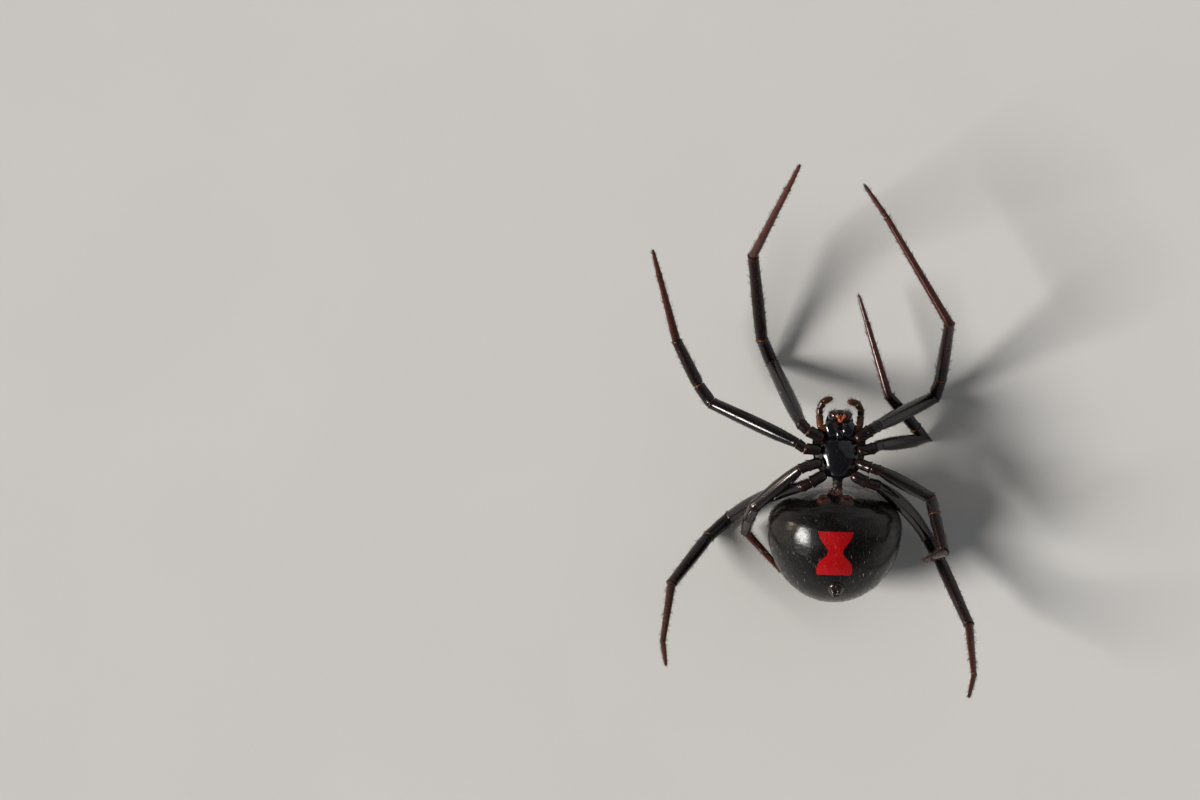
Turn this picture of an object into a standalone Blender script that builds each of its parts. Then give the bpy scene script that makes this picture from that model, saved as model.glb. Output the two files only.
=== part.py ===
"""A black widow spider, life size, lying on its back with its legs held out as in its web.

+X is the spider's right side, -Y is forward and +Z is its belly side. The origin is on the small flat
of the abdomen's back, below the abdomen's widest section. Sizes are in millimetres until MM is applied.
"""

import math

import bmesh
import bpy
from mathutils import Matrix, Vector
from mathutils.bvhtree import BVHTree

MM = 0.001
NAME = "black_widow_spider"
CUT = 0.06
HALF_CUT = CUT / 2
WELD = 0.0005
SHARP_ANGLE = math.radians(50)

# Abdomen: an egg with its blunt end forward, rounder on the back than on the belly
ABDOMEN_HALF_WIDTH = 4.56
ABDOMEN_FRONT = 2.87
ABDOMEN_REAR = 5.06
ABDOMEN_AXIS_Z = 4.3
ABDOMEN_BELLY = 4.3
ABDOMEN_FLAT = 0.08
ABDOMEN_FRONT_DROP = 0.6
ABDOMEN_FRONT_POWER = 2.3
ABDOMEN_FACETS = (30, 18)
LUNG_PLACE = (0.8, -2.05)
LUNG_RADIUS = 0.42
LUNG_SUNK = 0.45
EPIGYNE_PLACE = (0.0, -2.3)
EPIGYNE_HALF = (0.5, 0.3, 0.3)

# Spinnerets: a low cone that carries two pairs of small ones
SPINNERETS_Y = 4.0
SPINNERET_BASE_RADII = (0.62, 0.46)
SPINNERET_BASE_HEIGHT = 0.3
SPINNERET_RADII = (0.17, 0.09)
SPINNERET_SUNK = 0.1
SPINNERET_SPREAD = 10

# Pairs of spinnerets: distance from the middle line, distance to the rear, length, degrees of lean
SPINNERET_PAIRS = ((0.2, -0.17, 0.5, -12), (0.17, 0.2, 0.4, 14))

# Cephalothorax: the carapace below a level seam, the sternum and mouthparts above it
SEAM_Z = 6.35
CARAPACE_FRONT = -8.1
CARAPACE_REAR = -3.45
CARAPACE_POWERS = (3.4, 2.4)
CARAPACE_FACETS = (26, 18)
THORAX_HALF_WIDTH = 1.8
HEAD_HALF_WIDTH = 1.02
THORAX_DEPTH = 1.25
HEAD_DEPTH = 1.45
NECK_Y = (-6.0, -7.1)
FOVEA_Y = -5.2
FOVEA_HALF_LENGTH = 0.45
FOVEA_DEPTH = 0.16
FOVEA_NARROWNESS = 6
STERNUM_MID = -5.1
STERNUM_FRONT = 1.2
STERNUM_REAR = 1.8
STERNUM_HALF_WIDTH = 1.36
STERNUM_HEIGHT = 0.78
STERNUM_POWERS = (3.0, 1.7)
STERNUM_LIFT_POWER = 2.4
STERNUM_FACETS = (22, 14)
PEDICEL_RADIUS = 0.36
PEDICEL_Z = 5.95
PEDICEL_IN_CARAPACE = 0.5
PEDICEL_IN_ABDOMEN = 0.8
HEAD_CENTRE = (0.0, -7.2, 5.75)
EYE_RADIUS = 0.105
EYE_SUNK = 0.3

# Eyes by name: degrees out from straight ahead, and degrees towards the back of the spider
EYES = {
    "anterior_median": (13, 13),
    "anterior_lateral": (43, 8),
    "posterior_median": (17, 38),
    "posterior_lateral": (54, 33),
}

# Legs: lengths of the coxa, trochanter, femur, patella, tibia, metatarsus and tarsus of each pair
LEG_LENGTHS = {
    1: (1.0, 0.65, 7.8, 2.3, 6.4, 8.4, 2.6),
    2: (0.95, 0.6, 6.9, 1.5, 3.4, 5.3, 1.9),
    3: (0.9, 0.6, 4.6, 1.5, 2.7, 3.8, 1.6),
    4: (1.0, 0.65, 8.2, 2.1, 5.2, 5.6, 2.0),
}
COXA_X = {1: 1.25, 2: 1.42, 3: 1.38, 4: 1.05}
FIRST_COXA_Y = -6.19
COXA_SPACING = 0.85
COXA_Z = 6.85
FEMUR_BOW = {1: 0.0, 2: 0.0, 3: 0.0, 4: 0.32}
KNEE_HEIGHT = 0.48
REST = None

# The pose: for each segment its heading, in degrees from straight ahead outwards, and its pitch,
# in degrees towards the belly side. REST lowers a femur until its knee stands on the floor.
POSE = {
    ("right", 1): ((64, 0), (48, -3), (23, REST), (26, 37), (9, 29), (-24, 57), (-24, 53)),
    ("right", 2): ((85, 4), (56, 0), (66, -23), (37, 2), (28, 5), (17, 28), (17, 35)),
    ("right", 3): ((108, 24), (113, 16), (133, -33), (160, -55), (173, -66), (-136, -12), (-84, -2)),
    ("right", 4): ((121, 10), (117, -18), (118, REST), (133, 12), (141, 40), (171, 48), (-171, 42)),
    ("left", 1): ((55, 0), (59, -25), (65, REST), (9, 53), (-1, 56), (-32, 0), (-36, 0)),
    ("left", 2): ((77, -8), (60, -42), (84, REST), (-42, 38), (-44, 30), (-18, 0), (-18, 0)),
    ("left", 3): ((109, 20), (105, 8), (116, -27), (171, 41), (166, 18), (-102, 69), (-98, 70)),
    ("left", 4): ((115, 10), (102, -14), (132, -47), (153, 43), (156, 23), (-178, 57), (-161, 44)),
}

# Radii along a leg: (share of the segment, radius), of a front leg; slimmer pairs are scaled
COXA_PROFILE = ((0.0, 0.34), (0.3, 0.38), (0.8, 0.37), (1.0, 0.33))
TROCHANTER_PROFILE = ((0.35, 0.37), (0.7, 0.38), (1.0, 0.36))
FEMUR_PROFILE = ((0.0, 0.36), (0.12, 0.43), (0.3, 0.49), (0.5, 0.51), (0.75, 0.5), (1.0, 0.46))
PATELLA_PROFILE = ((0.0, 0.46), (0.35, 0.45), (0.7, 0.44), (1.0, 0.42))
TIBIA_PROFILE = ((0.0, 0.42), (0.2, 0.43), (0.5, 0.41), (0.8, 0.39), (1.0, 0.37))
METATARSUS_PROFILE = ((0.0, 0.35), (0.1, 0.32), (0.5, 0.29), (1.0, 0.27))
TARSUS_PROFILE = ((0.35, 0.26), (0.8, 0.255), (1.0, 0.25))
GIRTH = {1: 1.0, 2: 0.94, 3: 0.92, 4: 0.98}
THINNEST = 0.25

# Pedipalps: from the base, each segment's length, heading and pitch, and the radius at each joint
PALP_BASE = (1.33, -6.94, 6.77)
PALP_LENGTHS = (0.8, 0.45, 0.5, 0.7)
PALP_RADII = (0.26, 0.28, 0.27, 0.29, 0.25)
PALP_POSE = {
    "right": ((4, -15), (-2, 0), (-25, 8), (-65, 16)),
    "left": ((6, -15), (0, 0), (-35, 8), (-80, 16)),
}

# Chelicerae: stout cones that stand on the carapace's front, with the fangs folded across
CHELICERA_POINTS = ((0.42, -7.66, 6.3), (0.43, -7.7, 6.75), (0.4, -7.76, 7.15), (0.36, -7.8, 7.5))
CHELICERA_RADII = (0.37, 0.37, 0.34, 0.24)
FANG_POINTS = ((0.28, -7.74, 7.62), (0.13, -7.62, 7.64))
FANG_RADII = (0.11, 0.05)

# Mouthparts between the palps: two endites beside a labium
ENDITE_PLACE = (0.53, -6.72, 6.75)
ENDITE_HALF = (0.47, 0.47, 0.46)
ENDITE_TURN = 18
LABIUM_PLACE = (0.0, -6.42, 6.78)
LABIUM_HALF = (0.4, 0.32, 0.42)

# Finishes: colour and roughness
LOOKS = {
    "cuticle": ((0.012, 0.011, 0.013, 1.0), 0.16),
    "abdomen": ((0.010, 0.009, 0.010, 1.0), 0.22),
    "distal_legs": ((0.060, 0.020, 0.010, 1.0), 0.28),
    "mouthparts": ((0.030, 0.012, 0.009, 1.0), 0.22),
    "eyes": ((0.020, 0.018, 0.020, 1.0), 0.05),
    "pedicel": ((0.045, 0.022, 0.014, 1.0), 0.35),
}


def clear_scene():
    for old in list(bpy.data.objects):
        bpy.data.objects.remove(old)


def new_collection(name):
    collection = bpy.data.collections.new(name)
    bpy.context.scene.collection.children.link(collection)
    return collection


def new_material(name, look):
    colour, roughness = LOOKS[look]
    material = bpy.data.materials.new(name)
    material.use_nodes = True
    shader = material.node_tree.nodes["Principled BSDF"]
    shader.inputs["Base Color"].default_value = colour
    shader.inputs["Roughness"].default_value = roughness
    shader.inputs["Metallic"].default_value = 0.0
    return material


def finish_mesh(shape, name):
    """Turns the bmesh, in millimetres, into a mesh in metres."""
    bmesh.ops.recalc_face_normals(shape, faces=shape.faces)
    if shape.calc_volume(signed=True) < 0:
        bmesh.ops.reverse_faces(shape, faces=shape.faces)
    bmesh.ops.scale(shape, vec=(MM, MM, MM), verts=shape.verts)
    mesh = bpy.data.meshes.new(name)
    shape.to_mesh(mesh)
    shape.free()
    mesh.shade_smooth()
    mesh.set_sharp_from_angle(angle=SHARP_ANGLE)
    return mesh


def add_part(name, shape, look):
    part = bpy.data.objects.new(name, finish_mesh(shape, name))
    PARTS.objects.link(part)
    part.data.materials.append(new_material(name + "_finish", look))
    part.parent = ROOT
    return part


def add_cutter(name, shape):
    cutter = bpy.data.objects.new(name, finish_mesh(shape, name))
    CUTTERS.objects.link(cutter)
    cutter.hide_render = True
    cutter.display_type = "WIRE"
    return cutter


def boolean(part, other, operation):
    modifier = part.modifiers.new(other.name, "BOOLEAN")
    modifier.operation = operation
    modifier.object = other
    modifier.solver = "EXACT"


def cut_plane(shape, point, normal):
    """Cuts away what lies on the normal's side of the plane, and closes the cut."""
    geometry = shape.verts[:] + shape.edges[:] + shape.faces[:]
    cut = bmesh.ops.bisect_plane(
        shape, geom=geometry, dist=WELD, plane_co=point, plane_no=normal, clear_outer=True
    )
    rim = [item for item in cut["geom_cut"] if isinstance(item, bmesh.types.BMEdge)]
    if rim:
        bmesh.ops.holes_fill(shape, edges=rim, sides=0)


def rounding(share, power):
    """The width left at a share of the way to a rounded end."""
    return (1 - min(abs(share), 1) ** power) ** (1 / power)


def smooth_step(value, start, end):
    share = min(max((value - start) / (end - start), 0), 1)
    return share * share * (3 - 2 * share)


def sphere_shape(segments, rings, section):
    """A sphere with its poles forward and back, whose points section() moves into place."""
    shape = bmesh.new()
    bmesh.ops.create_uvsphere(shape, u_segments=segments, v_segments=rings, radius=1)
    for point in shape.verts:
        along = -point.co.z
        angle = math.atan2(point.co.y, point.co.x)
        point.co = section(along, angle)
    return shape


def ellipsoid(centre, half):
    def section(along, angle):
        across = rounding(along, 2)
        return (
            centre[0] + half[0] * across * math.cos(angle),
            centre[1] + half[1] * along,
            centre[2] + half[2] * across * math.sin(angle),
        )

    return sphere_shape(12, 8, section)


def abdomen_point(along, angle, grow=0.0):
    """A point of the abdomen's surface, from -1 at its front to 1 at its rear."""
    forward = along < 0
    length = ABDOMEN_FRONT if forward else ABDOMEN_REAR
    across = rounding(along, ABDOMEN_FRONT_POWER if forward else 2)
    axis_z = ABDOMEN_AXIS_Z - (ABDOMEN_FRONT_DROP * along * along if forward else 0)
    belly_side = math.sin(angle) > 0
    height = ABDOMEN_BELLY if belly_side else axis_z + ABDOMEN_FLAT
    return Vector(
        (
            (ABDOMEN_HALF_WIDTH + grow) * across * math.cos(angle),
            (length + grow) * along,
            axis_z + (height + grow) * across * math.sin(angle),
        )
    )


def belly_point(x, y):
    """The place on the abdomen's belly side above (x, y), and the way that it faces."""
    length = ABDOMEN_FRONT if y < 0 else ABDOMEN_REAR
    along = y / length
    across = rounding(along, ABDOMEN_FRONT_POWER if y < 0 else 2)
    angle = math.acos(x / (ABDOMEN_HALF_WIDTH * across))
    step = 0.01
    here = abdomen_point(along, angle)
    ahead = abdomen_point(along - step, angle) - abdomen_point(along + step, angle)
    aside = abdomen_point(along, angle - step) - abdomen_point(along, angle + step)
    facing = aside.cross(ahead)
    if facing.z < 0:
        facing.negate()
    return here, facing.normalized()


def facing_matrix(place, facing):
    return Matrix.Translation(place) @ facing.to_track_quat("Z", "Y").to_matrix().to_4x4()


def make_abdomen():
    shape = sphere_shape(*ABDOMEN_FACETS, abdomen_point)
    cut_plane(shape, (0, 0, 0), (0, 0, -1))
    abdomen = add_part("abdomen", shape, "abdomen")
    lungs = bmesh.new()
    for side in (1, -1):
        place, facing = belly_point(side * LUNG_PLACE[0], LUNG_PLACE[1])
        bmesh.ops.create_uvsphere(
            lungs, u_segments=12, v_segments=8, radius=LUNG_RADIUS,
            matrix=facing_matrix(place - facing * LUNG_RADIUS * LUNG_SUNK, facing),
        )
    boolean(abdomen, add_cutter("lung_knobs", lungs), "UNION")
    place, facing = belly_point(*EPIGYNE_PLACE)
    epigyne = ellipsoid((0, 0, 0), EPIGYNE_HALF)
    bmesh.ops.transform(epigyne, matrix=facing_matrix(place, facing), verts=epigyne.verts)
    boolean(abdomen, add_cutter("epigyne_knob", epigyne), "UNION")


def make_spinnerets():
    place, facing = belly_point(0.0, SPINNERETS_Y)
    frame = facing_matrix(place + facing * CUT, facing)
    base_radius, top_radius = SPINNERET_BASE_RADII
    base = bmesh.new()
    bmesh.ops.create_cone(
        base, cap_ends=True, segments=14, radius1=base_radius, radius2=top_radius,
        depth=SPINNERET_BASE_HEIGHT, matrix=frame @ Matrix.Translation((0, 0, SPINNERET_BASE_HEIGHT / 2)),
    )
    spinnerets = add_part("spinnerets", base, "mouthparts")
    thick, thin = SPINNERET_RADII
    for pair, (x, y, length, lean) in enumerate(SPINNERET_PAIRS):
        cones = bmesh.new()
        for side in (1, -1):
            spread = Matrix.Rotation(math.radians(SPINNERET_SPREAD * side), 4, "Y")
            tilt = Matrix.Rotation(math.radians(-lean), 4, "X")
            stand = Matrix.Translation((side * x, y, SPINNERET_BASE_HEIGHT - SPINNERET_SUNK)) @ spread @ tilt
            bmesh.ops.create_cone(
                cones, cap_ends=True, segments=9, radius1=thick, radius2=thin, depth=length,
                matrix=frame @ stand @ Matrix.Translation((0, 0, length / 2)),
            )
        boolean(spinnerets, add_cutter(f"spinneret_pair_{pair + 1}", cones), "UNION")


def carapace_point(along, angle, grow=0.0):
    """A point of the carapace: a narrow deep head before a wide low thorax with a dimple."""
    half_length = (CARAPACE_REAR - CARAPACE_FRONT) / 2
    y = (CARAPACE_REAR + CARAPACE_FRONT) / 2 + half_length * along
    head = smooth_step(y, *NECK_Y)
    across = rounding(along, CARAPACE_POWERS[0] if along < 0 else CARAPACE_POWERS[1])
    width = THORAX_HALF_WIDTH + (HEAD_HALF_WIDTH - THORAX_HALF_WIDTH) * head
    depth = THORAX_DEPTH + (HEAD_DEPTH - THORAX_DEPTH) * head
    on_back = max(-math.sin(angle), 0) ** FOVEA_NARROWNESS
    depth -= FOVEA_DEPTH * on_back * math.exp(-(((y - FOVEA_Y) / FOVEA_HALF_LENGTH) ** 2))
    return Vector(
        (
            (width + grow) * across * math.cos(angle),
            y + grow * along,
            SEAM_Z + (depth + grow) * across * math.sin(angle),
        )
    )


def sternum_point(along, angle, grow=0.0):
    """A point of the sternum: a shield, broad in front and pointed behind."""
    forward = along < 0
    length = STERNUM_FRONT if forward else STERNUM_REAR
    across = rounding(along, STERNUM_POWERS[0] if forward else STERNUM_POWERS[1])
    lift = rounding(along, STERNUM_LIFT_POWER)
    return Vector(
        (
            (STERNUM_HALF_WIDTH + grow) * across * math.cos(angle),
            STERNUM_MID + (length + grow) * along,
            SEAM_Z + CUT + (STERNUM_HEIGHT + grow) * lift * math.sin(angle),
        )
    )


def grown(point_of):
    return lambda along, angle: point_of(along, angle, grow=CUT)


def make_carapace():
    shape = sphere_shape(*CARAPACE_FACETS, carapace_point)
    cut_plane(shape, (0, 0, SEAM_Z), (0, 0, 1))
    surface = BVHTree.FromBMesh(shape)
    carapace = add_part("carapace", shape, "cuticle")
    sockets = bmesh.new()
    for name, (outward, backward) in EYES.items():
        for side, sign in (("right", 1), ("left", -1)):
            place = eye_place(surface, sign * math.radians(outward), math.radians(backward))
            eye = bmesh.new()
            stand = Matrix.Translation(place)
            bmesh.ops.create_uvsphere(eye, u_segments=10, v_segments=6, radius=EYE_RADIUS, matrix=stand)
            add_part(f"eye_{name}_{side}", eye, "eyes")
            bmesh.ops.create_uvsphere(
                sockets, u_segments=8, v_segments=6, radius=EYE_RADIUS + HALF_CUT, matrix=stand
            )
    boolean(carapace, add_cutter("eye_sockets", sockets), "DIFFERENCE")


def eye_place(surface, outward, backward):
    ray = Vector(
        (
            math.sin(outward) * math.cos(backward),
            -math.cos(outward) * math.cos(backward),
            -math.sin(backward),
        )
    )
    hit = surface.ray_cast(Vector(HEAD_CENTRE), ray)[0]
    return hit - ray * EYE_RADIUS * EYE_SUNK


def make_sternum():
    shape = sphere_shape(*STERNUM_FACETS, sternum_point)
    cut_plane(shape, (0, 0, SEAM_Z + CUT), (0, 0, -1))
    add_part("sternum", shape, "cuticle")


def make_mouthparts():
    labium = add_part("endites_and_labium", ellipsoid(LABIUM_PLACE, LABIUM_HALF), "cuticle")
    endites = bmesh.new()
    for side in (1, -1):
        place = Vector((side * ENDITE_PLACE[0], *ENDITE_PLACE[1:]))
        turn = Matrix.Rotation(math.radians(ENDITE_TURN * side), 4, "Z")
        size = Matrix.Diagonal((*ENDITE_HALF, 1))
        bmesh.ops.create_uvsphere(
            endites, u_segments=12, v_segments=8, radius=1,
            matrix=Matrix.Translation(place) @ turn @ size,
        )
    boolean(labium, add_cutter("endite_pair", endites), "UNION")
    boolean(labium, STERNUM_CLEARANCE, "DIFFERENCE")
    boolean(labium, SEAM_CLEARANCE, "DIFFERENCE")


def tube_shape(points, radii):
    """A tube with flat ends through the points, as a bmesh in millimetres."""
    curve = bpy.data.curves.new("tube", "CURVE")
    curve.dimensions = "3D"
    curve.bevel_depth = 1.0
    curve.bevel_resolution = 2
    curve.use_fill_caps = True
    spline = curve.splines.new("POLY")
    spline.points.add(len(points) - 1)
    for knot, place, radius in zip(spline.points, points, radii):
        knot.co = (*place, 1)
        knot.radius = radius
    holder = bpy.data.objects.new("tube", curve)
    bpy.context.scene.collection.objects.link(holder)
    bpy.context.view_layer.update()
    mesh = bpy.data.meshes.new_from_object(holder.evaluated_get(bpy.context.evaluated_depsgraph_get()))
    shape = bmesh.new()
    shape.from_mesh(mesh)
    bmesh.ops.remove_doubles(shape, verts=shape.verts, dist=WELD)
    bpy.data.objects.remove(holder)
    bpy.data.curves.remove(curve)
    bpy.data.meshes.remove(mesh)
    return shape


def direction(side, heading, pitch):
    """The way a segment points: out from straight ahead by heading, up by pitch, in radians."""
    return Vector(
        (
            side * math.sin(heading) * math.cos(pitch),
            -math.cos(heading) * math.cos(pitch),
            math.sin(pitch),
        )
    )


def joints_of(side, start, lengths, angles):
    """The joints of a limb, from its base to its tip."""
    joints = [Vector(start)]
    for length, (heading, pitch) in zip(lengths, angles):
        here = joints[-1]
        lift = math.asin((KNEE_HEIGHT - here.z) / length) if pitch is REST else math.radians(pitch)
        joints.append(here + direction(side, math.radians(heading), lift) * length)
    return joints


def along_segment(start, end, profile, girth, bow=Vector()):
    """Points and radii along one segment, bowed sideways at its middle."""
    points = []
    radii = []
    for share, radius in profile:
        points.append(start.lerp(end, share) + bow * 4 * share * (1 - share))
        radii.append(max(radius * girth, THINNEST))
    return points, radii


def extend_ends(points, radii, at_start, at_end):
    """Lengthens a tube past its joints, for the slanted cuts."""
    first = points[0] + (points[0] - points[1]).normalized() * at_start
    last = points[-1] + (points[-1] - points[-2]).normalized() * at_end
    return [first, *points[1:-1], last], radii


def bisector(before, joint, after):
    """The normal of the plane that halves the angle at a joint."""
    return ((joint - before).normalized() + (after - joint).normalized()).normalized()


def reach_of_bend(before, joint, after, radius):
    bend = (joint - before).angle(after - joint)
    return radius * math.tan(bend / 2) + CUT


def add_limb_piece(name, points, radii, start_joint, end_joint, look):
    """One piece of a limb. A joint is (before, joint, after), or None at a free end."""
    at_start = reach_of_bend(*start_joint, radii[0]) if start_joint else 0
    at_end = reach_of_bend(*end_joint, radii[-1]) if end_joint else 0
    shape = tube_shape(*extend_ends(points, radii, at_start, at_end))
    if start_joint:
        normal = bisector(*start_joint)
        cut_plane(shape, start_joint[1] + normal * HALF_CUT, -normal)
    if end_joint:
        normal = bisector(*end_joint)
        cut_plane(shape, end_joint[1] - normal * HALF_CUT, normal)
    if min(point.co.z for point in shape.verts) < 0:
        cut_plane(shape, (0, 0, 0), (0, 0, -1))
    return add_part(name, shape, look)


def make_leg(side_name, pair):
    side = 1 if side_name == "right" else -1
    girth = GIRTH[pair]
    angles = POSE[(side_name, pair)]
    start = (side * COXA_X[pair], FIRST_COXA_Y + (pair - 1) * COXA_SPACING, COXA_Z)
    joints = joints_of(side, start, LEG_LENGTHS[pair], angles)
    name = f"leg_{side_name}_{pair}"

    hip = joints[1:4]
    knee = joints[2:5]
    shin = joints[3:6]
    ankle = joints[4:7]
    femur_heading = math.radians(angles[2][0])
    bow = direction(side, femur_heading - math.pi / 2, 0) * FEMUR_BOW[pair]

    base_points, base_radii = along_segment(joints[0], joints[1], COXA_PROFILE, girth)
    more_points, more_radii = along_segment(joints[1], joints[2], TROCHANTER_PROFILE, girth)
    coxa = add_limb_piece(
        name + "_coxa", base_points + more_points, base_radii + more_radii, None, hip, "cuticle"
    )
    boolean(coxa, STERNUM_CLEARANCE, "DIFFERENCE")

    points, radii = along_segment(joints[2], joints[3], FEMUR_PROFILE, girth, bow)
    add_limb_piece(name + "_femur", points, radii, hip, knee, "cuticle")

    points, radii = along_segment(joints[3], joints[4], PATELLA_PROFILE, girth)
    add_limb_piece(name + "_patella", points, radii, knee, shin, "cuticle")

    points, radii = along_segment(joints[4], joints[5], TIBIA_PROFILE, girth)
    add_limb_piece(name + "_tibia", points, radii, shin, ankle, "cuticle")

    points, radii = along_segment(joints[5], joints[6], METATARSUS_PROFILE, girth)
    more_points, more_radii = along_segment(joints[6], joints[7], TARSUS_PROFILE, girth)
    add_limb_piece(name + "_tarsus", points + more_points, radii + more_radii, ankle, None, "distal_legs")


def make_palp(side_name):
    side = 1 if side_name == "right" else -1
    start = (side * PALP_BASE[0], *PALP_BASE[1:])
    joints = joints_of(side, start, PALP_LENGTHS, PALP_POSE[side_name])
    add_part(f"palp_{side_name}", tube_shape(joints, PALP_RADII), "distal_legs")


def make_chelicera(side_name):
    side = 1 if side_name == "right" else -1
    points = [Vector((side * x, y, z)) for x, y, z in CHELICERA_POINTS + FANG_POINTS]
    shape = tube_shape(points, CHELICERA_RADII + FANG_RADII)
    cut_plane(shape, (0, 0, SEAM_Z + CUT), (0, 0, -1))
    add_part(f"chelicera_{side_name}", shape, "mouthparts")


def make_pedicel():
    front = Vector((0, CARAPACE_REAR - PEDICEL_IN_CARAPACE, PEDICEL_Z))
    rear = Vector((0, PEDICEL_IN_ABDOMEN - ABDOMEN_FRONT, PEDICEL_Z))
    shape = tube_shape((front, rear), (PEDICEL_RADIUS, PEDICEL_RADIUS))
    pedicel = add_part("pedicel", shape, "pedicel")
    boolean(pedicel, ABDOMEN_CLEARANCE, "DIFFERENCE")
    boolean(pedicel, CARAPACE_CLEARANCE, "DIFFERENCE")
    boolean(pedicel, STERNUM_CLEARANCE, "DIFFERENCE")


def seam_block():
    """A block that fills everything below the mouthparts, on the carapace's side of the seam."""
    half_size = (2, 1, 1)
    shape = bmesh.new()
    bmesh.ops.create_cube(shape, size=2)
    bmesh.ops.scale(shape, vec=half_size, verts=shape.verts)
    place = (0, LABIUM_PLACE[1], SEAM_Z + CUT - half_size[2])
    bmesh.ops.translate(shape, vec=place, verts=shape.verts)
    return shape


clear_scene()
PARTS = new_collection(NAME)
CUTTERS = new_collection(NAME + "_cutters")
ROOT = bpy.data.objects.new(NAME + "_root", None)
PARTS.objects.link(ROOT)
ABDOMEN_CLEARANCE = add_cutter("abdomen_clearance", sphere_shape(*ABDOMEN_FACETS, grown(abdomen_point)))
CARAPACE_CLEARANCE = add_cutter("carapace_clearance", sphere_shape(*CARAPACE_FACETS, grown(carapace_point)))
STERNUM_CLEARANCE = add_cutter("sternum_clearance", sphere_shape(*STERNUM_FACETS, grown(sternum_point)))
SEAM_CLEARANCE = add_cutter("seam_clearance", seam_block())

make_abdomen()
make_spinnerets()
make_pedicel()
make_carapace()
make_sternum()
make_mouthparts()
for side_word in ("right", "left"):
    make_chelicera(side_word)
    make_palp(side_word)
    for leg_pair in LEG_LENGTHS:
        make_leg(side_word, leg_pair)
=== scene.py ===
"""The looks of the black widow spider: skins, plates, hairs, finishes, light and camera.

Sizes are in millimetres until MM is applied. +X is the spider's right side, -Y is forward and +Z is
its belly side, which the camera looks down on.
"""

import math

import bpy
import numpy as np
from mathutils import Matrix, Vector, noise


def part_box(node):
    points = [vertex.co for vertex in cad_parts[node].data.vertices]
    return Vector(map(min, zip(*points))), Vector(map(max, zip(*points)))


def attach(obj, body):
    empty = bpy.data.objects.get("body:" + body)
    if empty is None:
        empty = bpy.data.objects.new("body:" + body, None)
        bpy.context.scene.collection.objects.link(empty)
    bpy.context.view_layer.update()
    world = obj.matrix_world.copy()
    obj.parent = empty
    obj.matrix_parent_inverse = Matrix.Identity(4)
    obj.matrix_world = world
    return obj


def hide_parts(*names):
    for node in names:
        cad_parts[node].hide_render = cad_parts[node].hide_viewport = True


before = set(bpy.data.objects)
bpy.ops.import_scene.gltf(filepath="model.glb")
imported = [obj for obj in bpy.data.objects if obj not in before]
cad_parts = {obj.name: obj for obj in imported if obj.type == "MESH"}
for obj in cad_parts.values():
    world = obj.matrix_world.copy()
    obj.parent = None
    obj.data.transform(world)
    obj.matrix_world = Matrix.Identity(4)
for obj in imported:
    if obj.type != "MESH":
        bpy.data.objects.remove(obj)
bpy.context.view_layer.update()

MM = 0.001
SEED = 7
SIDES = {"right": 1, "left": -1}
LEG_SKIN_NODES = ("coxa", "femur", "patella", "tibia")

# Abdomen, as in the solids
ABDOMEN_HALF_WIDTH = 4.56
ABDOMEN_FRONT = 2.87
ABDOMEN_REAR = 5.06
ABDOMEN_AXIS_Z = 4.3
ABDOMEN_BELLY = 4.3
ABDOMEN_FLAT = 0.08
ABDOMEN_FRONT_DROP = 0.6
ABDOMEN_FRONT_POWER = 2.3
SPINNERETS_Y = 4.0

# Marks on the belly side: they sit a little to the spider's right, as the abdomen is slightly rolled
LUNG_CENTRE_X = 0.22
LUNG_OUT = 0.8
LUNG_Y = -2.05
LUNG_Z = 7.35
EPIGYNE_Y = -2.35
FURROW_Y = -1.42
SPOT_Y = -1.05
SPOT_Z = 8.05
HOURGLASS_X = 0.2
HOURGLASS_FRONT = 0.1
HOURGLASS_REAR = 3.05
HOURGLASS_HALF_WIDTH = 1.2
HOURGLASS_EDGE = 0.035
HOURGLASS_WAVER = 0.042

# The hourglass's outline: share of its length from the front, and share of its half width there
HOURGLASS_OUTLINE = (
    (0.0, 0.99), (0.13, 0.9), (0.27, 0.7), (0.38, 0.5), (0.46, 0.43), (0.53, 0.47), (0.61, 0.66),
    (0.7, 0.86), (0.8, 0.97), (0.93, 1.0), (1.0, 0.94),
)

# Dimples of the abdomen's back: how far to each side, Y, Z and radius
BACK_DIMPLES = ((1.15, -0.9, 0.15, 0.3), (1.2, 0.7, 0.1, 0.34), (1.0, 2.3, 0.5, 0.26))

# Spinnerets: how far to the side and back, length, radii at base and tip, and lean
SPINNERETS = (
    (0.2, -0.14, 0.44, 0.2, 0.15, 0.15),
    (0.07, 0.06, 0.3, 0.08, 0.06, 0.1),
    (0.18, 0.2, 0.4, 0.16, 0.11, 0.45),
)

# A spinneret's outline: share of its length, and share of the tapering radius there
CONE_OUTLINE = (
    (0, 1.0), (0.25, 1.04), (0.5, 1.0), (0.62, 0.92), (0.64, 0.78), (0.68, 0.8), (0.72, 0.9),
    (0.85, 0.8), (0.94, 0.6), (1.0, 0.3),
)

# Cephalothorax, as in the solids
SEAM_Z = 6.35
CARAPACE_FRONT = -8.1
CARAPACE_REAR = -3.45
CARAPACE_POWERS = (3.4, 2.4)
THORAX_HALF_WIDTH = 1.8
HEAD_HALF_WIDTH = 1.02
THORAX_DEPTH = 1.25
HEAD_DEPTH = 1.45
NECK_Y = (-6.0, -7.1)
FOVEA_Y = -5.2
STERNUM_MID = -5.1
STERNUM_FRONT = 1.2
STERNUM_REAR = 1.8
STERNUM_HALF_WIDTH = 1.36
STERNUM_HEIGHT = 0.78
STERNUM_Z = SEAM_Z + 0.06
PEDICEL_Z = 5.95
LENS_RADIUS = 0.118
EYE_NAMES = ("anterior_median", "anterior_lateral", "posterior_median", "posterior_lateral")

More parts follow.
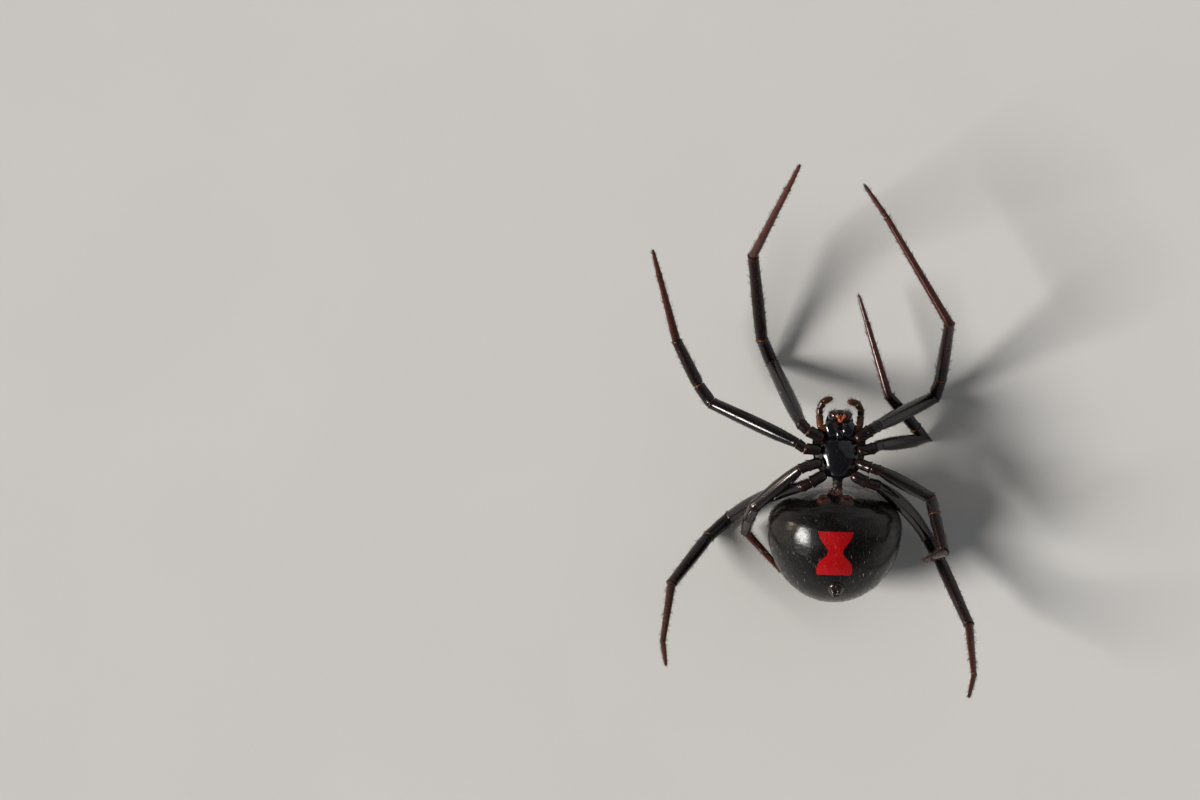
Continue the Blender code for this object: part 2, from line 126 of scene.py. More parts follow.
# The right chelicera: places along its trunk and its fang, from base to tip, and the radii there
CHELICERA_PATH = (
    (0.42, -7.6, 6.2), (0.44, -7.66, 6.5), (0.43, -7.68, 6.85), (0.4, -7.7, 7.15),
    (0.36, -7.72, 7.4), (0.33, -7.72, 7.54),
)
CHELICERA_RADII = (0.33, 0.38, 0.4, 0.37, 0.29, 0.14)
FANG_PATH = (
    (0.25, -7.68, 7.5), (0.22, -7.64, 7.58), (0.15, -7.55, 7.6), (0.09, -7.45, 7.56),
    (0.06, -7.37, 7.48),
)
FANG_RADII = (0.13, 0.11, 0.08, 0.04, 0.012)

# Legs, as in the solids: lengths from the coxa to the tarsus, and each segment's heading and pitch
LEG_LENGTHS = {
    1: (1.0, 0.65, 7.8, 2.3, 6.4, 8.4, 2.6),
    2: (0.95, 0.6, 6.9, 1.5, 3.4, 5.3, 1.9),
    3: (0.9, 0.6, 4.6, 1.5, 2.7, 3.8, 1.6),
    4: (1.0, 0.65, 8.2, 2.1, 5.2, 5.6, 2.0),
}
COXA_X = {1: 1.25, 2: 1.42, 3: 1.38, 4: 1.05}
FIRST_COXA_Y = -6.19
COXA_SPACING = 0.85
COXA_Z = 6.85
FEMUR_BOW = {1: 0.0, 2: 0.0, 3: 0.0, 4: 0.32}

# REST stands for the pitch that brings a segment's end down to a resting knee's height
KNEE_HEIGHT = 0.48
REST = None
POSE = {
    ("right", 1): ((64, 0), (48, -3), (23, REST), (26, 37), (9, 29), (-24, 57), (-24, 53)),
    ("right", 2): ((85, 4), (56, 0), (66, -23), (37, 2), (28, 5), (17, 28), (17, 35)),
    ("right", 3): ((108, 24), (113, 16), (133, -33), (160, -55), (173, -66), (-136, -12), (-84, -2)),
    ("right", 4): ((121, 10), (117, -18), (118, REST), (133, 12), (141, 40), (171, 48), (-171, 42)),
    ("left", 1): ((55, 0), (59, -25), (65, REST), (9, 53), (-1, 56), (-32, 0), (-36, 0)),
    ("left", 2): ((77, -8), (60, -42), (84, REST), (-42, 38), (-44, 30), (-18, 0), (-18, 0)),
    ("left", 3): ((109, 20), (105, 8), (116, -27), (171, 41), (166, 18), (-102, 69), (-98, 70)),
    ("left", 4): ((115, 10), (102, -14), (132, -47), (153, 43), (156, 23), (-178, 57), (-161, 44)),
}
GIRTH = {1: 1.0, 2: 0.94, 3: 0.92, 4: 0.98}

# Radii along each segment of a leg: (share of the segment, radius)
LEG_PROFILES = (
    ((0, 0.38), (0.25, 0.42), (0.6, 0.4), (0.85, 0.42), (1, 0.39)),
    ((0, 0.36), (0.35, 0.39), (0.7, 0.38), (1, 0.37)),
    ((0, 0.35), (0.06, 0.41), (0.25, 0.5), (0.45, 0.52), (0.75, 0.49), (0.94, 0.45), (1, 0.46)),
    ((0, 0.43), (0.3, 0.46), (0.7, 0.43), (1, 0.42)),
    ((0, 0.39), (0.12, 0.44), (0.45, 0.43), (0.85, 0.385), (0.96, 0.375), (1, 0.39)),
    ((0, 0.32), (0.05, 0.31), (0.3, 0.28), (0.7, 0.235), (0.95, 0.205), (1, 0.21)),
    ((0, 0.18), (0.15, 0.185), (0.7, 0.145), (1, 0.1)),
)
FEMUR = 2
TIBIA = 4
METATARSUS = 5
TARSUS = 6

# Bristles on each segment of a leg: how many for each millimetre, and their length
LEG_BRISTLES = ((8, 0.18), (8, 0.16), (14, 0.2), (20, 0.26), (28, 0.28), (32, 0.26), (40, 0.2))

# A claw's path from its root: along the leg, to the side and up
CLAW_PATH = ((0, 0, 0), (0.09, 0.03, 0.02), (0.17, 0.04, -0.01), (0.2, 0.04, -0.08))

# Palps: the hidden root, the base, and the segments' lengths, headings and pitches
PALP_ROOT = (0.82, -6.72, 6.7)
PALP_BASE = (1.33, -6.94, 6.77)
PALP_LENGTHS = (0.8, 0.45, 0.5, 0.7)
PALP_POSE = {
    "right": ((4, -15), (-2, 0), (-25, 8), (-65, 16)),
    "left": ((6, -15), (0, 0), (-35, 8), (-80, 16)),
}
PALP_PROFILES = (
    ((0, 0.26), (0.5, 0.27), (1, 0.24)),
    ((0, 0.22), (0.3, 0.25), (0.8, 0.235), (1, 0.225)),
    ((0, 0.21), (0.5, 0.235), (1, 0.225)),
    ((0, 0.21), (0.5, 0.24), (1, 0.23)),
    ((0, 0.21), (0.3, 0.24), (0.7, 0.2), (1, 0.1)),
)
PALP_BRISTLES = ((0, 0.2), (22, 0.2), (36, 0.26), (50, 0.28), (80, 0.26))

# Hairs of the body: how many on each part or each of a pair, and their radii at the root
HAIR_COUNTS = {"abdomen": 6500, "sternum": 110, "maxilla": 90, "chelicera": 60}
HAIR_RADII = {
    "abdomen": 0.0065, "sternum": 0.01, "maxilla": 0.008, "chelicera": 0.009, "palp": 0.009,
    "leg": 0.013,
}

# Distant lights: the way each comes from, its strength, its width in degrees and its colour
LIGHTS = {
    "key": ((0.82, 0.19, 0.54), 4.0, 20, (1.0, 0.97, 0.93)),
    "fill": ((-0.6, -0.5, 0.55), 0.35, 80, (0.9, 0.95, 1.0)),
    "rim": ((0.95, -0.12, 0.12), 0.5, 12, (1.0, 0.78, 0.5)),
}
HORIZON = (0.48, 0.475, 0.465)
ZENITH = (0.045, 0.047, 0.05)

# Floor and camera, in metres and degrees
FLOOR_SIZE = 6.0
FLOOR_Z = -0.00001
CAMERA_PLACE = (0.016265, -0.008330, 0.232225)
CAMERA_TURN = 181.5


def unit(vectors):
    return vectors / np.maximum(np.linalg.norm(vectors, axis=-1, keepdims=True), 1e-12)


def smooth(value, start, end):
    share = np.clip((value - start) / (end - start), 0, 1)
    return share * share * (3 - 2 * share)


def rounding(share, power):
    """The width left at a share of the way to a rounded end."""
    return (1 - np.minimum(np.abs(share), 1) ** power) ** (1 / power)


def bell(distance, width):
    """A smooth bump, 1 high, that fades with distance."""
    return np.exp(-((distance / width) ** 2))


def hill(points, place, radius):
    """A smooth hill, 1 high, round a place."""
    return bell(np.linalg.norm(points - np.array(place), axis=-1), radius)


def ripple(points, size):
    """Smooth noise from -1 to 1, with features of about that size."""
    flat = points.reshape(-1, 3) / size
    values = np.array([noise.noise(Vector(point)) for point in flat])
    return values.reshape(points.shape[:-1])


def xyz(x, y, z):
    return np.stack(np.broadcast_arrays(x, y, z), axis=-1)


def angles_round(count):
    return np.arange(count) * 2 * math.pi / count


def spokes_at(angle, side, up):
    """Ways out from an axis, by angle round it."""
    return np.cos(angle)[..., None] * side + np.sin(angle)[..., None] * up


def grid_normals(points):
    """Normals of a grid whose rows run round the body, pointing away from its middle."""
    along = np.gradient(points, axis=0)
    around = np.roll(points, -1, axis=1) - np.roll(points, 1, axis=1)
    normals = unit(np.cross(around, along))
    outward = points - points.mean(axis=(0, 1))
    if (normals * outward).sum() < 0:
        normals = -normals
    return normals


def raised(points, relief):
    """The points of a grid, moved outwards by the relief."""
    return points + grid_normals(points) * relief[..., None]


def link_object(name, data):
    thing = bpy.data.objects.new(name, data)
    bpy.context.scene.collection.objects.link(thing)
    return thing


def new_piece(name, points, faces, material, slot, nodes=()):
    """A mesh that rides on the spider, from points in millimetres."""
    mesh = bpy.data.meshes.new(name)
    mesh.from_pydata((np.asarray(points) * MM).tolist(), [], faces)
    mesh.shade_smooth()
    mesh.set_sharp_from_angle(angle=math.radians(60))
    mesh.materials.append(material)
    piece = link_object(name, mesh)
    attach(piece, "root")
    if nodes:
        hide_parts(*nodes)
    return piece


def loft_faces(rows, columns):
    """Faces of rows of points joined into a closed tube, whose two poles come last."""
    faces = []
    pole = rows * columns
    last = pole - columns
    for column in range(columns):
        beside = (column + 1) % columns
        for here in range(0, last, columns):
            there = here + columns
            faces.append((here + column, here + beside, there + beside, there + column))
        faces.append((pole, beside, column))
        faces.append((pole + 1, last + column, last + beside))
    return faces


def outward_faces(points, faces):
    """The faces, turned round if they point into the body."""
    points = points - points.mean(axis=0)
    volume = 0.0
    for face in faces:
        first, second, third = points[list(face[:3])]
        volume += float(np.dot(first, np.cross(second, third)))
    return faces if volume >= 0 else [tuple(reversed(face)) for face in faces]


def closed_loft(rings, poles=None):
    """Points and faces of a tube closed at two poles, or at the middles of its end rings."""
    rings = np.asarray(rings)
    first, last = poles if poles is not None else (rings[0].mean(axis=0), rings[-1].mean(axis=0))
    points = np.vstack([rings.reshape(-1, 3), [first], [last]])
    return points, outward_faces(points, loft_faces(*rings.shape[:2]))


def add_loft(name, rings, material, slot, nodes=(), poles=None):
    return new_piece(name, *closed_loft(rings, poles), material, slot, nodes)


def join_lofts(name, parts, material, slot, nodes=()):
    """One piece from several closed lofts, each an array of rings."""
    points = []
    faces = []
    for rings in parts:
        loft, turned = closed_loft(rings)
        start = sum(len(block) for block in points)
        faces += [tuple(start + index for index in face) for face in turned]
        points.append(loft)
    return new_piece(name, np.vstack(points), faces, material, slot, nodes)


def set_attribute(piece, name, values):
    attribute = piece.data.attributes.new(name, "FLOAT", "POINT")
    attribute.data.foreach_set("value", np.asarray(values, np.float32))


def sphere_grid(rows, columns):
    """Places along a body, from -1 to 1, and angles round it."""
    along = -np.cos(np.linspace(0, math.pi, rows + 2)[1:-1])
    return np.meshgrid(along, angles_round(columns), indexing="ij")


def lump(centre, half, power=2.0, turn=0.0, rows=20, columns=28):
    """The rings of a rounded block with its poles on Y, turned about Z by so many degrees."""
    along, angle = sphere_grid(rows, columns)
    across = rounding(along, power)
    reach = (np.abs(np.cos(angle)) ** power + np.abs(np.sin(angle)) ** power) ** (-1 / power)
    x = half[0] * across * np.cos(angle) * reach
    y = half[1] * along
    z = half[2] * across * np.sin(angle) * reach
    cos, sin = math.cos(math.radians(turn)), math.sin(math.radians(turn))
    return xyz(x * cos - y * sin, x * sin + y * cos, z) + np.array(centre)


class Tree:
    """Short names for adding nodes to a material or the world."""

    def __init__(self, owner):
        owner.use_nodes = True
        self.owner = owner
        self.nodes = owner.node_tree.nodes
        self.links = owner.node_tree.links

    def connect(self, node, inputs):
        """Gives a node its inputs, each a socket or a constant."""
        for socket, value in inputs.items():
            if isinstance(value, bpy.types.NodeSocket):
                self.links.new(value, node.inputs[socket])
            elif value is not None:
                node.inputs[socket].default_value = value
        return node

    def add(self, kind, inputs=(), **settings):
        node = self.nodes.new("ShaderNode" + kind)
        for name, value in settings.items():
            setattr(node, name, value)
        return self.connect(node, dict(inputs))

    def math(self, operation, first, second=0.0, clamp=False):
        inputs = {0: first, 1: second}
        return self.add("Math", inputs, operation=operation, use_clamp=clamp).outputs[0]

    def place(self):
        """The surface's place, in millimetres."""
        coordinates = self.add("TexCoord").outputs["Object"]
        return self.add("VectorMath", {0: coordinates, 3: 1 / MM}, operation="SCALE").outputs[0]

    def noise(self, place, size, detail=3.0, roughness=0.5):
        """Noise around 0.5 with features of a size in millimetres."""
        inputs = {"Vector": place, "Scale": 1 / size, "Detail": detail, "Roughness": roughness}
        return self.add("TexNoise", inputs).outputs["Fac"]

    def dots(self, place, size):
        """Round dots on a jittered lattice: 1 at their middles, 0 between them."""
        cells = self.add("TexVoronoi", {"Vector": place, "Scale": 1 / size}, feature="F1")
        return self.ramp(cells.outputs["Distance"], 0.32, 0.12)

    def ramp(self, value, low, high):
        """A smooth step from 0 at low to 1 at high."""
        inputs = {"Value": value, "From Min": low, "From Max": high}
        return self.add("MapRange", inputs, interpolation_type="SMOOTHSTEP").outputs["Result"]

    def range(self, value, low, high):
        inputs = {"Value": value, "To Min": low, "To Max": high}
        return self.add("MapRange", inputs).outputs["Result"]

    def mix(self, share, first, second):
        """A colour between two, each a socket or three numbers."""
        inputs = {"Factor": share}
        for socket, colour in ((6, first), (7, second)):
            inputs[socket] = colour if isinstance(colour, bpy.types.NodeSocket) else (*colour, 1)
        return self.add("Mix", inputs, data_type="RGBA").outputs[2]

    def attribute(self, name):
        return self.add("Attribute", attribute_name=name).outputs["Fac"]

    def bumps(self, *layers):
        """Bumps on top of each other: each one's height, depth in millimetres and strength."""
        normal = None
        for height, depth, strength in layers:
            inputs = {"Height": height, "Distance": depth * MM, "Strength": strength}
            normal = self.add("Bump", {**inputs, "Normal": normal}).outputs["Normal"]
        return normal

    def distance(self, place, point):
        return self.add("VectorMath", {0: place, 1: point}, operation="DISTANCE").outputs["Value"]

    def finish(self, colour, roughness, normal=None, ior=1.5, coat=0.0, coat_roughness=0.03):
        """Connects the shader, and returns the material."""
        inputs = {"Base Color": colour, "Roughness": roughness, "Normal": normal, "IOR": ior}
        coating = {"Coat Weight": coat, "Coat Roughness": coat_roughness}
        self.connect(self.nodes["Principled BSDF"], {**inputs, **coating})
        return self.owner


def new_material(name):
    """The nodes of a new material, and the surface's place in them."""
    tree = Tree(bpy.data.materials.new(name))
    return tree, tree.place()


def hourglass_share(tree, place):
    """1 inside the red hourglass of the belly side, 0 outside it."""
    parts = tree.add("SeparateXYZ", {0: place}).outputs
    waver = tree.range(tree.noise(place, 0.22, 2.0), -HOURGLASS_WAVER, HOURGLASS_WAVER)
    length = HOURGLASS_REAR - HOURGLASS_FRONT
    down = tree.math("SUBTRACT", parts["Y"], HOURGLASS_FRONT)
    outline = tree.add("FloatCurve", {"Value": tree.math("DIVIDE", down, length)})
    knots = outline.mapping.curves[0].points
    knots[0].location = HOURGLASS_OUTLINE[0]
    knots[1].location = HOURGLASS_OUTLINE[-1]
    for point in HOURGLASS_OUTLINE[1:-1]:
        knots.new(*point)
    outline.mapping.update()
    half = tree.math("MULTIPLY", outline.outputs["Value"], HOURGLASS_HALF_WIDTH)
    aside = tree.math("ABSOLUTE", tree.math("SUBTRACT", parts["X"], HOURGLASS_X))
    aside = tree.math("ADD", aside, waver)
    inside = tree.ramp(tree.math("SUBTRACT", half, aside), -HOURGLASS_EDGE, HOURGLASS_EDGE)
    down = tree.math("ADD", down, waver)
    front = tree.ramp(down, -HOURGLASS_EDGE, HOURGLASS_EDGE)
    rear = tree.ramp(down, length + HOURGLASS_EDGE, length - HOURGLASS_EDGE)
    belly = tree.ramp(parts["Z"], ABDOMEN_AXIS_Z, ABDOMEN_AXIS_Z + 1)
    for limit in (front, rear, belly):
        inside = tree.math("MULTIPLY", inside, limit)
    return inside


def abdomen_material():
    tree, place = new_material("abdomen_skin")
    patch = tree.noise(place, 1.6, 4.0)
    grain = tree.noise(place, 0.07, 3.0, 0.6)
    stretched = tree.add("Mapping", {"Vector": place, "Scale": (1.6, 3.4, 1.6)}).outputs[0]
    fold = tree.noise(stretched, 1.1, 4.0)
    colour = tree.mix(patch, (0.0016, 0.0015, 0.002), (0.0055, 0.004, 0.0035))
    lung_tone = tree.mix(grain, *KNOB_BROWNS)
    for side in (1, -1):
        lung = tree.distance(place, (LUNG_CENTRE_X + side * LUNG_OUT, LUNG_Y, LUNG_Z))
        ring = tree.math("MULTIPLY", tree.ramp(lung, 0.6, 0.36), tree.ramp(lung, 0.06, 0.22))
        colour = tree.mix(tree.math("MULTIPLY", ring, 0.85), colour, lung_tone)
    spot = tree.ramp(tree.distance(place, (LUNG_CENTRE_X, SPOT_Y, SPOT_Z)), 0.24, 0.05)
    colour = tree.mix(tree.math("MULTIPLY", spot, 0.8), colour, (0.1, 0.014, 0.012))
    red = tree.mix(tree.noise(place, 0.35, 4.0), (0.28, 0.0015, 0.003), (0.43, 0.005, 0.008))
    colour = tree.mix(hourglass_share(tree, place), colour, red)
    roughness = tree.math("ADD", tree.range(grain, 0.12, 0.26), tree.range(patch, -0.03, 0.05))
    dots = tree.dots(place, 0.13)
    normal = tree.bumps((fold, 0.04, 0.4), (dots, 0.009, 0.8), (grain, 0.007, 0.8))
    return tree.finish(colour, roughness, normal, ior=1.36, coat=0.08, coat_roughness=0.08)


def cuticle_material(name, black, brown, gloss):
    """Cuticle, black to brown by the attribute tone, and paler on the soft skin of the joints."""
    tree, place = new_material(name)
    patch = tree.noise(place, 0.8)
    grain = tree.noise(place, 0.05, 3.0, 0.6)
    tone = tree.math("ADD", tree.attribute("tone"), tree.range(patch, -0.16, 0.16), clamp=True)
    colour = tree.mix(tone, black, brown)
    soft = tree.mix(tree.ramp(patch, 0.4, 0.65), (0.022, 0.009, 0.006), (0.2, 0.06, 0.02))
    membrane = tree.attribute("membrane")
    colour = tree.mix(tree.math("MULTIPLY", membrane, 0.85), colour, soft)
    dullness = tree.math("MULTIPLY", membrane, 0.2)
    roughness = tree.math("ADD", tree.range(grain, gloss - 0.04, gloss + 0.1), dullness)
    normal = tree.bumps((tree.dots(place, 0.12), 0.004, 0.6), (grain, 0.003, 0.7))
    return tree.finish(colour, roughness, normal, ior=1.4, coat=0.12, coat_roughness=0.06)


def plate_material(name, dark, light, gloss, coat):
    tree, place = new_material(name)
    patch = tree.noise(place, 0.7, 4.0)
    grain = tree.noise(place, 0.045, 3.0, 0.6)
    dots = tree.dots(place, 0.13)
    normal = tree.bumps((patch, 0.02, 0.35), (dots, 0.004, 0.5), (grain, 0.002, 0.7))
    colour = tree.mix(patch, dark, light)
    roughness = tree.range(grain, gloss - 0.03, gloss + 0.1)
    return tree.finish(colour, roughness, normal, coat=coat, coat_roughness=0.05)


def membrane_material():
    tree, place = new_material("soft_skin")
    grain = tree.noise(place, 0.08, 4.0, 0.65)
    colour = tree.mix(grain, (0.004, 0.003, 0.0025), (0.016, 0.008, 0.006))
    normal = tree.bumps((grain, 0.03, 0.8))
    return tree.finish(colour, tree.range(grain, 0.34, 0.55), normal, ior=1.45)


def eye_material(name, dark, light):
    tree, place = new_material(name)
    colour = tree.mix(tree.noise(place, 0.05, 2.0), dark, light)
    return tree.finish(colour, 0.04, coat=1.0, coat_roughness=0.02)


def bristle_material(name, marked):
    """Hair, dark at the root and brown at the tip. Marked hair takes the hourglass's red."""
    tree, place = new_material(name)
    colour = tree.mix(tree.attribute("tip"), (0.012, 0.006, 0.004), (0.11, 0.05, 0.025))
    if marked:
        red = tree.math("MULTIPLY", hourglass_share(tree, place), 0.8)
        colour = tree.mix(red, colour, (0.33, 0.005, 0.007))
    return tree.finish(colour, 0.34, ior=1.55, coat=0.2, coat_roughness=0.2)


def floor_material():
    tree, place = new_material("pale_floor")
    colour = tree.mix(tree.noise(place, 14.0), (0.64, 0.63, 0.615), (0.68, 0.67, 0.655))
    return tree.finish(colour, 0.85, ior=1.4)


BLACK = (0.0045, 0.004, 0.005)
KNOB_BROWNS = ((0.012, 0.005, 0.004), (0.085, 0.024, 0.014))
ABDOMEN_SKIN = abdomen_material()
LEG_CUTICLE = cuticle_material("leg_cuticle", BLACK, (0.035, 0.01, 0.007), 0.14)
FOOT_CUTICLE = cuticle_material("foot_cuticle", (0.01, 0.0045, 0.004), (0.085, 0.017, 0.009), 0.22)
PALP_CUTICLE = cuticle_material("palp_cuticle", (0.005, 0.0035, 0.0035), (0.16, 0.048, 0.012), 0.18)
CARAPACE_CUTICLE = cuticle_material("carapace_cuticle", BLACK, (0.05, 0.014, 0.007), 0.12)
# The plates' bluish tone, in random patches, is a painted bluish sheen on black cuticle.
PLATE_CUTICLE = plate_material("plate_cuticle", BLACK, (0.006, 0.006, 0.01), 0.12, 0.35)
MOUTH_CUTICLE = plate_material("mouth_cuticle", (0.006, 0.004, 0.0035), (0.022, 0.008, 0.006), 0.16, 0.2)
KNOB_CUTICLE = plate_material("knob_cuticle", *KNOB_BROWNS, 0.14, 0.4)
FANG_CUTICLE = plate_material("fang_cuticle", (0.2, 0.03, 0.012), (0.5, 0.12, 0.04), 0.16, 0.6)
CLAW_CUTICLE = plate_material("claw_cuticle", (0.02, 0.008, 0.005), (0.07, 0.02, 0.01), 0.2, 0.4)
SOFT_SKIN = membrane_material()
DARK_LENS = eye_material("dark_lens", (0.006, 0.004, 0.004), (0.03, 0.018, 0.012))
PALE_LENS = eye_material("pale_lens", (0.05, 0.035, 0.025), (0.16, 0.12, 0.09))
BRISTLE = bristle_material("bristle", False)
ABDOMEN_HAIR = bristle_material("abdomen_hair", True)


def abdomen_section(along):
    """The share of the abdomen's width, and its axis's height, at a place along it."""
    forward = along < 0
    across = rounding(along, np.where(forward, ABDOMEN_FRONT_POWER, 2.0))
    return across, ABDOMEN_AXIS_Z - np.where(forward, ABDOMEN_FRONT_DROP * along**2, 0)


def abdomen_point(along, angle):
    """The abdomen's smooth shape: an egg with its blunt end forward, lying on a small flat."""
    across, axis_z = abdomen_section(along)
    length = np.where(along < 0, ABDOMEN_FRONT, ABDOMEN_REAR)
    height = np.where(np.sin(angle) > 0, ABDOMEN_BELLY, axis_z + ABDOMEN_FLAT)
    x = ABDOMEN_HALF_WIDTH * across * np.cos(angle)
    return xyz(x, length * along, axis_z + height * across * np.sin(angle))


def on_belly(x, y):
    """The point of the abdomen's smooth belly side above (x, y)."""
    across, axis_z = abdomen_section(y / (ABDOMEN_FRONT if y < 0 else ABDOMEN_REAR))
    sine = math.sqrt(1 - (x / (ABDOMEN_HALF_WIDTH * across)) ** 2)
    return np.array([x, y, axis_z + ABDOMEN_BELLY * across * sine])


def abdomen_relief(points):
    """How far the skin stands proud of the smooth shape."""
    x, y, z = np.moveaxis(points, -1, 0)
    relief = 0.03 * ripple(points, 1.9) + 0.012 * ripple(points, 0.6)
    for side in (1, -1):
        lung = on_belly(LUNG_CENTRE_X + side * LUNG_OUT, LUNG_Y)
        hollow = lung + (side * 0.1, 0.55, 0.1)
        reach = np.linalg.norm(points - (lung + (0, 0, 0.12)), axis=-1)
        relief += 0.28 * hill(points, lung, 0.42) - 0.07 * hill(points, hollow, 0.3)
        relief += 0.05 * bell(reach - 0.3, 0.07) - 0.16 * bell(reach, 0.15)
        for aside, dimple_y, dimple_z, radius in BACK_DIMPLES:
            relief -= 0.07 * hill(points, (side * aside, dimple_y, dimple_z), radius)
    relief += 0.1 * hill(points, on_belly(LUNG_CENTRE_X, EPIGYNE_Y), 0.45)
    belly = smooth(z, 5.5, 7.0)
    aside = np.abs(x - LUNG_CENTRE_X)
    furrow = bell(y - FURROW_Y - 0.06 * x**2, 0.12)
    relief -= 0.03 * furrow * belly * smooth(aside, 1.9, 0.9)
    wrinkles = np.sin(y * 9 + 1.6 * aside) * bell(y + 1.0, 0.7) * belly
    return relief + (0.016 + 0.012 * ripple(points, 0.8)) * wrinkles


def settle(height, softness=0.02):
    """Flattens what would reach below the floor."""
    return softness * np.logaddexp(0, height / softness)


def make_abdomen():
    points = abdomen_point(*sphere_grid(230, 300))
    points = raised(points, abdomen_relief(points))
    points[..., 2] = settle(points[..., 2])
    front = (0, -ABDOMEN_FRONT, ABDOMEN_AXIS_Z - ABDOMEN_FRONT_DROP)
    rear = (0, ABDOMEN_REAR, ABDOMEN_AXIS_Z)
    add_loft("abdomen_skin", points, ABDOMEN_SKIN, "abdomen", ["abdomen"], (front, rear))


def make_epigynum():
    """The knob in front of the lungs, with an arch of beads over its opening."""
    centre = on_belly(LUNG_CENTRE_X, EPIGYNE_Y) - (0, 0, 0.12)
    half = np.array([0.54, 0.5, 0.45])
    knob = lump(centre, half, rows=40, columns=60)
    opening = centre + half * (0, -0.45, 0.9)
    ways = unit(knob - centre)
    dent = 0.2 * hill(knob, opening, 0.2) - 0.02 * ripple(knob, 0.25)
    parts = [knob - ways * dent[..., None]]
    for bearing in np.radians(np.linspace(-12, 192, 7)):
        way = unit(np.array([math.cos(bearing), -0.35 - 0.65 * math.sin(bearing), 0.75]))
        size = 0.13 + 0.02 * math.cos(3 * bearing)
        parts.append(lump(centre + half * way, (size, 0.9 * size, 0.9 * size), rows=12, columns=18))
    join_lofts("epigynum", parts, KNOB_CUTICLE, "mouthparts")


def cone_rings(base, way, length, thick, thin):
    """Rings of a small stout cone with a joint ring and a rounded tip."""
    way = unit(way)
    side = unit(np.cross(way, (0.31, 0.2, 0.93)))
    spokes = spokes_at(angles_round(18), side, np.cross(way, side))
    rings = []
    for share, scale in CONE_OUTLINE:
        radius = (thick + (thin - thick) * share) * scale
        rings.append(base + way * length * share + spokes * radius)
    return np.array(rings)


def make_spinnerets():
    place = on_belly(0.0, SPINNERETS_Y)
    step = 0.05
    back = unit(on_belly(0.0, SPINNERETS_Y + step) - on_belly(0.0, SPINNERETS_Y - step))
    right = np.array([1.0, 0.0, 0.0])
    out = np.cross(right, back)
    dome = lump((0, 0, 0), (0.56, 0.58, 0.3), rows=22, columns=32)
    parts = [place + dome @ np.array([right, back, out])]
    for x, y, length, thick, thin, lean in SPINNERETS:
        for side in (1, -1):
            base = place + side * x * right + y * back + 0.14 * out
            way = out + side * -0.12 * right + lean * back
            parts.append(cone_rings(base, way, length, thick, thin))
    parts.append(cone_rings(place + 0.36 * back + 0.08 * out, out + 1.2 * back, 0.3, 0.17, 0.12))
    parts.append(cone_rings(place - 0.4 * back + 0.14 * out, out - 0.3 * back, 0.16, 0.1, 0.05))
    join_lofts("spinneret_group", parts, MOUTH_CUTICLE, "mouthparts", ["spinnerets"])


def carapace_outline(along):
    half_length = (CARAPACE_REAR - CARAPACE_FRONT) / 2
    y = (CARAPACE_REAR + CARAPACE_FRONT) / 2 + half_length * along
    head = smooth(-y, -NECK_Y[0], -NECK_Y[1])
    across = rounding(along, np.where(along < 0, *CARAPACE_POWERS))
    width = THORAX_HALF_WIDTH + (HEAD_HALF_WIDTH - THORAX_HALF_WIDTH) * head
    depth = THORAX_DEPTH + (HEAD_DEPTH - THORAX_DEPTH) * head
    return y, across, width, depth


def eyes():
    """Each eye's node, and its middle in millimetres."""
    for name in EYE_NAMES:
        for side_name in SIDES:
            node = f"eye_{name}_{side_name}"
            lowest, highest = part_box(node)
            yield node, np.array((lowest + highest) / 2) / MM


def carapace_relief(points):
    """The back's dimple, furrows and neck groove, bumps under the eyes and a dent before them."""
    x, y, z = np.moveaxis(points, -1, 0)
    back = smooth(z, SEAM_Z - 0.15, SEAM_Z - 0.7)
    reach = np.hypot(x, y - FOVEA_Y)
    relief = 0.012 * ripple(points, 0.7) - 0.16 * bell(reach, 0.34) * back
    bearing = np.arctan2(np.abs(x), y - FOVEA_Y)
    furrows = (0.5 + 0.5 * np.cos(bearing * 8)) ** 3
    relief -= 0.035 * furrows * back * smooth(reach, 0.25, 0.6) * smooth(reach, 1.9, 1.2)
    neck = np.abs(x) * 0.85 + (y + 5.6)
    relief -= 0.07 * bell(neck, 0.14) * back * smooth(y, -5.2, -5.8)
    for _, centre in eyes():
        relief += 0.03 * hill(points, centre, 0.17)
    return relief - 0.07 * hill(points, (0, CARAPACE_FRONT, 6.0), 0.42)


def make_carapace():
    along, angle = sphere_grid(130, 170)
    y, across, width, depth = carapace_outline(along)
    height = np.where(np.sin(angle) > 0, 0.07, depth)
    points = xyz(width * across * np.cos(angle), y, SEAM_Z + height * across * np.sin(angle))
    points = raised(points, carapace_relief(points))
    poles = ((0, CARAPACE_FRONT, SEAM_Z), (0, CARAPACE_REAR, SEAM_Z))
    shell = add_loft("carapace_shell", points, CARAPACE_CUTICLE, "cuticle", ["carapace"], poles)
    places = np.vstack([points.reshape(-1, 3), poles])
    eye_rings = np.zeros(len(places))
    for node, centre in eyes():
        eye_rings += hill(places, centre, 0.2)
        rings = lump(centre, (LENS_RADIUS,) * 3, rows=14, columns=22)
        lens = DARK_LENS if "anterior_median" in node else PALE_LENS
        add_loft(node.replace("eye", "lens"), rings, lens, "eyes", [node])
    set_attribute(shell, "tone", eye_rings)


def sternum_shares(along):
    """The shares of the sternum's half width and height at a place along it."""
    return rounding(along, np.where(along < 0, 3.0, 1.7)), rounding(along, 2.4)


def sternum_height(x, y):
    along = (y - STERNUM_MID) / np.where(y < STERNUM_MID, STERNUM_FRONT, STERNUM_REAR)
    across, lift = sternum_shares(along)
    half_width = STERNUM_HALF_WIDTH * np.maximum(across, 1e-3)
    return STERNUM_Z + STERNUM_HEIGHT * lift * np.sqrt(np.maximum(1 - (x / half_width) ** 2, 0))


